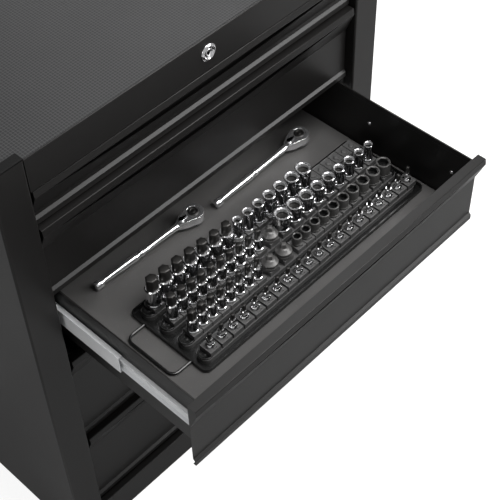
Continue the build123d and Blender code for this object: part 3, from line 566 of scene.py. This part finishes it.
# row, places, width of the first key, step in width, height of the first, step in height, section
bit_rows = (
    (3, back_bit_places, 17.0, 0.5, 58.0, 1.4, HEXAGON),
    (2, third_bit_places, 13.0, 0.5, 51.0, 1.1, HEXAGON),
    (1, second_bit_places, 12.0, 0.6, 45.0, 0.2, STAR),
)
for row, places, first_width, width_step, first_height, height_step, scales in bit_rows:
    barrel = (places[1] - places[0]) * PITCH_MM / 2 - BARREL_GAP
    for size, place in enumerate(places):
        corner = (first_width - width_step * size) / 2 / FLAT_TO_CORNER
        height = first_height - height_step * size
        top = BARREL_SHARE * height
        barrel_parts += copies(soften(turned("bit_barrel", [
            (0, barrel - 0.9), (0.9, barrel), (3.0, barrel), (3.8, barrel - 0.9),
            (5.4, barrel - 0.9), (6.2, barrel - 0.1), (top - 1.6, barrel - 0.3),
            (top, barrel - 1.7), (top, corner * 0.8)]), 0.2, 1, 60), [on_clip(place, row)])
        key_parts += copies(soften(turned("bit_key", [
            (top - 1, corner, scales), (height - 1.6, corner, scales),
            (height, corner - 1.3, scales)]), 0.2, 1, 40), [on_clip(place, row)])
dress(joined("bit_socket_barrels", barrel_parts), chrome, "socket_tray", "tool_chrome",
      "bit_sockets")
dress(joined("bit_socket_keys", key_parts), black_oxide, "socket_tray", "impact_black")

# %% [markdown]
# ## Impact sockets and adapters
# Impact sockets are short, thick and black with plain hexagonal openings, and they grow along the
# row. The adapters step from one drive size to another: a grooved flange, a cone and a square
# tang, all turned in one go with the last rings pulled square.

# %% Impact sockets
IMPACT_BORE_SHARE = 0.8
impact_parts, impact_bore_shades = [], []
for size, place in enumerate(impact_places):
    radius, height = PITCH_MM * (0.333 + 0.0208 * size), 18 + 0.8 * size
    bore = radius * IMPACT_BORE_SHARE
    impact_parts += copies(soften(turned("impact_socket", [
        (0, radius - 1.0), (1.0, radius), (3.4, radius), (4.0, radius - 0.6), (5.0, radius - 0.6),
        (5.6, radius), (height - 0.9, radius), (height, radius - 0.9), (height, bore + 0.3),
        (height - 0.9, bore, HEXAGON), (height - 10, bore, HEXAGON), (height - 10, bore * 0.6),
        (height - 12, bore * 0.6)]), 0.2, 1, 60), [on_clip(place, 1)])
    # A near-black sleeve inside each hexagonal opening is painted shade that darkens the bore.
    impact_bore_shades += copies(bore_lining(height, bore, 2.0, 9.0, HEXAGON), [on_clip(place, 1)])
dress(joined("short_impact_sockets", impact_parts), impact_black, "socket_tray", "impact_black",
      "impact_sockets")
dress(joined("impact_socket_bore_shades", impact_bore_shades), tray_moulding, "socket_tray", "impact_black")

# %% Adapters
adapter = soften(turned("adapter", [
    (0, 12.6), (0.9, 13.5), (4.6, 13.5), (5.2, 12.7), (6.2, 12.7), (6.8, 13.5), (10.8, 13.5),
    (12.0, 12.3), (12.6, 11.0), (15.6, 8.6), (17.0, 6.6), (17.4, 5.7, SQUARE),
    (24.2, 5.7, SQUARE), (25.0, 5.0, SQUARE)]), 0.2, 1, 50)
adapter_placings = [on_clip(place, 2) for place in third_adapter_places]
adapter_placings += [on_clip(place, 1) for place in reversed(second_adapter_places)]
dress(joined("square_drive_adapters", copies(adapter, adapter_placings)), impact_black,
      "socket_tray", "impact_black", "drive_adapters")

# %% [markdown]
# ## Small bit sockets
# The front row holds twenty small bit sockets, one to a clip: a waisted chrome barrel with a thin
# hexagonal key. They are all alike, so one is made and copied.

# %% Small bit sockets
small = soften(turned("small_barrel", [
    (0, 6.3), (0.7, 7.0), (3.4, 7.0), (4.2, 6.2), (5.0, 5.2), (6.4, 5.2), (7.2, 5.7), (15.6, 5.7),
    (17.0, 4.6), (17.0, 3.0)]), 0.15, 1, 60)
small_key = soften(turned("small_key", [
    (16.4, 3.4, HEXAGON), (28.2, 3.4, HEXAGON), (29.0, 2.8, HEXAGON)]), 0.15, 1, 40)
front_placings = [on_clip(place, 0) for place in small_places]
dress(joined("small_bit_barrels", copies(small, front_placings)), chrome, "socket_tray",
      "tool_chrome", "small_sockets")
dress(joined("small_bit_keys", copies(small_key, front_placings)), black_oxide, "socket_tray",
      "impact_black")

# %% [markdown]
# ## Rails and clips
# Each socket stands on a moulded clip that slides on its rail. A clip is a block with rounded
# edges, a shallow sunk top and a narrow slot near its front edge, and an empty one shows the
# square stud that holds a socket. The same clip is copied eighty times, so it has few faces, and
# it is drawn shorter where its neighbours stand close.

# %% Clips
CLIP_HEIGHT = 10.0
clip = start("cube", "clip", size=1.0, location=(0, 0, 0))
bpy.ops.transform.resize(value=(CLIP_LENGTH, CLIP_DEPTH, CLIP_HEIGHT * MM),
                         center_override=(0, 0, 0))
select_faces(clip, lambda face: face.normal.z > 0.9)
bpy.ops.mesh.inset(thickness=0.7 * MM)
extrude((0, 0, -0.3 * MM))
bpy.ops.mesh.inset(thickness=1.0 * MM)
bpy.ops.transform.resize(value=(0.55, 0.09, 1), center_override=(0, -0.0092, 0.0047))
extrude((0, 0, -2.0 * MM))
bpy.ops.object.mode_set(mode="OBJECT")
soften(clip, 0.35, 1)
clip_placings = []
for row, places in enumerate(rail_places):
    steps = [after - before for before, after in zip(places, places[1:])]
    for place, before, after in zip(places, steps[:1] + steps, steps + steps[-1:]):
        length = min(CLIP_LENGTH, min(before, after) * CLIP_PITCH - CLIP_GAP)
        clip_placings.append(on_clip(place, row) @ shifted(0, 0, -CLIP_HEIGHT / 2 * MM)
                             @ Matrix.Diagonal((length / CLIP_LENGTH, 1, 1, 1)))
dress(joined("sliding_clips", copies(clip, clip_placings)), clip_moulding, "socket_tray",
      "rail_plastic", "socket_clips")

# %% Studs of the empty clips
stud = soften(turned("stud", [
    (-0.7, 5.4, SQUARE), (1.4, 5.4, SQUARE), (2.2, 4.6, SQUARE)]), 0.2, 1, 40)
dress(joined("clip_studs", copies(stud, [on_clip(place, 3) for place in empty_places])),
      clip_moulding, "socket_tray", "rail_plastic")

# %% [markdown]
# ## Rail ends
# A round stop closes each end of a rail and keeps the clips from sliding off. It is turned, with a
# raised rim and a small button in its middle.

# %% Rail ends
RAIL_END_RADIUS = 12.5 * MM
rails_low, rails_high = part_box("socket_rails")
rail_end = soften(turned("rail_end", [
    (-4.0, 12.4), (1.6, 12.4), (2.6, 11.6), (2.6, 9.8), (1.4, 9.4), (1.4, 3.4), (2.2, 3.0),
    (2.2, 1.2)], 32), 0.25, 2, 40)
end_placings = [shifted(x, y, rails_high.z) for y in clip_rows
                for x in (rails_low.x + RAIL_END_RADIUS, rails_high.x - RAIL_END_RADIUS)]
dress(joined("rail_end_stops", copies(rail_end, end_placings)), tray_moulding, "socket_tray",
      "rail_plastic")

# %% [markdown]
# ## The ratchets
# A quick-release ratchet is a turned handle with a grip band at its end and a collar half way, and
# a pear-shaped head that holds the drive. The handle is turned on the Z axis and laid down along X.
# The head starts as a disc whose rear faces are pulled back into the neck.

# %% Ratchet handle and head
RATCHET_LENGTH, HALF_HEAD, HEAD_RADIUS = 204.0, 7.5, 17.0
handle = turned("ratchet_handle", [
    (0, 5.8), (0.8, 7.0), (1.6, 7.5), (12.6, 7.5), (13.6, 7.0), (14.4, 4.4), (17.0, 4.2),
    (30.0, 4.9), (58.0, 5.9), (80.0, 6.4), (85.0, 6.2), (86.4, 4.7), (89.6, 4.7), (91.0, 6.2),
    (96.0, 6.2), (97.6, 4.8), (122.0, 4.6), (146.0, 5.0), (164.0, 5.9), (174.0, 6.2)], 32)
handle.data.transform(Matrix.Rotation(math.radians(90), 4, "Y"))
soften(handle, 0.25, 2, 40)

head = start("cylinder", "ratchet_head", vertices=40, radius=HEAD_RADIUS * MM,
             depth=2 * HALF_HEAD * MM, location=(0, 0, 0))
select_faces(head, lambda face: face.normal.x < -0.62)
for reach, squeeze_y, squeeze_z in ((9.0, 0.80, 1.0), (9.0, 0.66, 0.9), (9.0, 0.66, 0.85)):
    extrude((-reach * MM, 0, 0))
    bpy.ops.transform.resize(value=(0.7, squeeze_y, squeeze_z),
                             center_override=(-(HEAD_RADIUS + reach) * MM, 0, 0))
select_faces(head, lambda face: face.normal.z > 0.99 and face.calc_center_median().x > -0.008)
bpy.ops.mesh.inset(thickness=5.4 * MM)
extrude((0, 0, -0.8 * MM))
face_outwards()
soften(head, 1.6, 3, 45)
head.data.transform(shifted(RATCHET_LENGTH * MM, 0, 0))

# %% Drive disc, drive square and direction lever
LEVER_OFFSET, LEVER_RISE, LEVER_HALF_HEIGHT = 25.0, 0.3, 1.3
drive_disc = turned("drive_disc", [
    (-6.0, 9.0), (7.4, 9.0), (8.0, 8.4), (8.4, 6.8), (8.4, 5.8), (7.6, 5.2), (7.6, 3.2),
    (8.2, 2.8), (8.2, 1.2)], 32)
soften(drive_disc, 0.2, 2, 40)
drive_square = soften(turned("drive_square", [
    (-17.5, 5.6, SQUARE), (-16.7, 6.6, SQUARE), (-6.0, 6.6, SQUARE)]), 0.25, 1, 40)

lever = start("cylinder", "direction_lever", vertices=24, radius=4.2 * MM,
              depth=2 * LEVER_HALF_HEIGHT * MM, location=(0, 0, 0))
select_faces(lever, lambda face: face.normal.x > 0.7)
extrude((8.0 * MM, 0, 0))
bpy.ops.transform.resize(value=(1, 0.55, 0.8), center_override=(0.012, 0, 0))
bpy.ops.object.mode_set(mode="OBJECT")
soften(lever, 0.5, 2, 45)

# %% Both ratchets, placed by their joints
for side in ("left", "right"):
    spin, flip = joints[f"{side}_ratchet_drive_spin"], joints[f"{side}_ratchet_lever_flip"]
    axis = Vector(spin["axis"]).normalized()
    along = (Vector(spin["pos_m"]) - Vector(flip["pos_m"])).normalized()
    at_head = Matrix((along, axis.cross(along), axis)).transposed().to_4x4()
    at_head.translation = Vector(spin["pos_m"])
    from_end = at_head @ shifted(-RATCHET_LENGTH * MM, 0, 0)
    lever_level = (HALF_HEAD + LEVER_RISE + LEVER_HALF_HEIGHT) * MM
    at_lever = at_head @ shifted(-LEVER_OFFSET * MM, 0, lever_level)
    body_parts = [copy_at(master, from_end) for master in (handle, head)]
    drive_parts = [copy_at(master, at_head) for master in (drive_disc, drive_square)]
    lever_parts = [copy_at(lever, at_lever)]
    dress(joined(f"{side}_ratchet_handle_and_head", body_parts), satin_chrome,
          f"{side}_ratchet", "tool_chrome", f"{side}_ratchet_body")
    dress(joined(f"{side}_ratchet_drive_disc", drive_parts), black_oxide,
          f"{side}_ratchet_drive", "impact_black", f"{side}_ratchet_drive")
    dress(joined(f"{side}_ratchet_direction_lever", lever_parts), chrome,
          f"{side}_ratchet_lever", "tool_chrome", f"{side}_ratchet_lever")
for master in (handle, head, drive_disc, drive_square, lever):
    bpy.data.objects.remove(master)

# %% [markdown]
# ## The lock
# A chromed bezel with a bevelled rim holds a plug with a keyway. The bezel is turned, and so is
# the plug, whose keyway is a slot pushed into its face.

# %% Lock bezel
lock_low, lock_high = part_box("lock_ring")
facing_front = Matrix.Translation(((lock_low.x + lock_high.x) / 2,
                                   joints["lock_turn"]["pos_m"][1],
                                   (lock_low.z + lock_high.z) / 2)) @ \
    Matrix.Rotation(math.radians(90), 4, "X")
bezel = turned("lock_bezel", [
    (-22, 9.2), (0, 9.2), (0, 13.6), (0.8, 14.0), (1.4, 13.6), (2.7, 11.6), (3.0, 10.8),
    (2.9, 9.6), (1.6, 8.9), (1.3, 7.4), (1.3, 6.7), (-22, 6.7)], 48)
bezel.data.transform(facing_front)
soften(bezel, 0.15, 1, 40)
dress(bezel, chrome, "cabinet", "lock_chrome", "lock_ring")

# %% Lock plug
plug = turned("lock_plug", [(-24, 6.4), (1.5, 6.4), (2.0, 6.0), (2.0, 4.6), (1.6, 4.4)], 48)
bpy.ops.object.mode_set(mode="EDIT")
select_faces(plug, lambda face: face.normal.z > 0.99
             and face.calc_center_median().xy.length < 0.001)
bpy.ops.mesh.inset(thickness=1.4 * MM)
bpy.ops.transform.resize(value=(0.34, 1.15, 1), center_override=(0, 0, 0.0016))
extrude((0, 0, -6.0 * MM))
face_outwards()
plug.data.transform(facing_front)
soften(plug, 0.12, 1, 40)
dress(plug, chrome, "lock", "lock_chrome", "lock_cylinder")

# %% [markdown]
# ## Rivets and slide ribs
# Each slide is held to its drawer wall by two rivets, whose round heads show inside, and its
# channel is stiffened by a pressed rib that catches the light along its length.

# %% Rivets and ribs
RIVET_OFFSETS = (0.027, 0.197)    # from the front end of the slide
DRAWER_SHEET = 1.2 * MM
RIB_RADIUS, RIB_FLATTENING, RIB_END_ROOM, RIB_RISE = 3.2 * MM, 0.42, 0.03, 1.5 * MM
rivet = soften(turned("rivet", [
    (0.0, 3.4), (0.7, 3.2), (1.3, 2.4), (1.6, 1.2), (1.7, 0.3)], 20), 0.1, 1, 60)
for number in range(1, 6):
    slide_low, slide_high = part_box(f"drawer_{number}_slides")
    wall_low, wall_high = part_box(f"drawer_{number}_box")
    level = (slide_low.z + slide_high.z) / 2
    head_placings, ribs = [], []
    for side, wall in ((-1, wall_low.x + DRAWER_SHEET), (1, wall_high.x - DRAWER_SHEET)):
        inward = Matrix.Rotation(math.radians(-90 * side), 4, "Y")
        for offset in RIVET_OFFSETS:
            head_placings.append(shifted(wall, slide_low.y + offset, level) @ inward)
        rib = start("cylinder", "slide_rib", vertices=16, radius=RIB_RADIUS, depth=1.0,
                    location=(0, 0, 0))
        rib_length = slide_high.y - slide_low.y - RIB_END_ROOM
        bpy.ops.transform.resize(value=(RIB_FLATTENING, 1, rib_length),
                                 center_override=(0, 0, 0))
        bpy.ops.object.mode_set(mode="OBJECT")
        web = side * ((wall_high.x - wall_low.x) / 2 + DRAWER_SHEET)
        rib.data.transform(shifted(web, (slide_low.y + slide_high.y) / 2, level + RIB_RISE)
                           @ Matrix.Rotation(math.radians(90), 4, "X"))
        ribs.append(soften(rib, 0.1, 1, 60))
    heads = [copy_at(rivet, placing) for placing in head_placings]
    dress(joined(f"drawer_{number}_wall_rivets", heads), satin_chrome, f"drawer_{number}",
          "zinc_steel")
    dress(joined(f"drawer_{number}_slide_ribs", ribs), zinc, f"drawer_{number}", "zinc_steel")
bpy.data.objects.remove(rivet)

# %% [markdown]
# ## The studio
# A pale floor that the camera sees as white, and four square soft lights: a key from the front
# right, one behind, one overhead and a faint one on the left. The surround is even, and brighter
# in mirrored rays, so that chrome and zinc have something pale to show.

# %% Floor
FLOOR_SIZE, FLOOR_DROP = 12.0, 0.0005
FLOOR_GLOW, FLOOR_MIRRORED_GLOW = 0.86, 0.14
bpy.ops.object.select_all(action="DESELECT")
bpy.ops.mesh.primitive_plane_add(size=FLOOR_SIZE, location=(0, 0, -FLOOR_DROP))
floor = bpy.context.object
floor.name = "studio_floor"
floor_material = bpy.data.materials.new("studio_floor")
floor_material.use_nodes = True
tree = floor_material.node_tree
floor_shader = tree.nodes["Principled BSDF"]
floor_shader.inputs["Base Color"].default_value = (0.32, 0.32, 0.32, 1)
floor_shader.inputs["Roughness"].default_value = 0.9
light_path = add_node(tree, "ShaderNodeLightPath")
mirrored = math_node(tree, "MULTIPLY", light_path.outputs["Is Glossy Ray"], FLOOR_MIRRORED_GLOW)
glow = math_node(tree, "MULTIPLY_ADD", light_path.outputs["Is Camera Ray"], FLOOR_GLOW, mirrored)
floor_shader.inputs["Emission Color"].default_value = (1, 1, 1, 1)
tree.links.new(glow, floor_shader.inputs["Emission Strength"])
floor.data.materials.append(floor_material)

# %% Surround
SURROUND_STRENGTH, MIRRORED_STRENGTH = 0.22, 0.3
world = bpy.data.worlds.new("studio_world")
bpy.context.scene.world = world
world.use_nodes = True
surround = world.node_tree
background = surround.nodes["Background"]
background.inputs["Color"].default_value = (1, 1, 1, 1)
surround_path = add_node(surround, "ShaderNodeLightPath")
surround.links.new(math_node(surround, "MULTIPLY_ADD", surround_path.outputs["Is Glossy Ray"],
                             MIRRORED_STRENGTH, SURROUND_STRENGTH),
                   background.inputs["Strength"])


# %% Lights
def area_light(name, place, aim, size, power):
    """A square soft light at place that points at aim."""
    data = bpy.data.lights.new(name, "AREA")
    data.size, data.energy = size, power
    light = bpy.data.objects.new(name, data)
    bpy.context.scene.collection.objects.link(light)
    place = Vector(place)
    turn = (Vector(aim) - place).to_track_quat("-Z", "Y").to_matrix().to_4x4()
    light.matrix_world = Matrix.Translation(place) @ turn


area_light("key_softbox", (1.6, -2.2, 2.1), (0, -0.3, 0.5), 1.4, 74.0)
area_light("back_softbox", (1.9, 1.8, 3.2), (0.05, -0.2, 0.6), 1.8, 60.0)
area_light("overhead_softbox", (0.3, -1.1, 2.9), (0.0, -0.35, 0.5), 1.2, 55.0)
area_light("left_softbox", (-2.3, -0.9, 1.5), (-0.2, -0.4, 0.5), 0.9, 9.0)
bpy.context.scene.view_settings.view_transform = "Standard"
print("lights:", [light.name for light in bpy.data.lights])
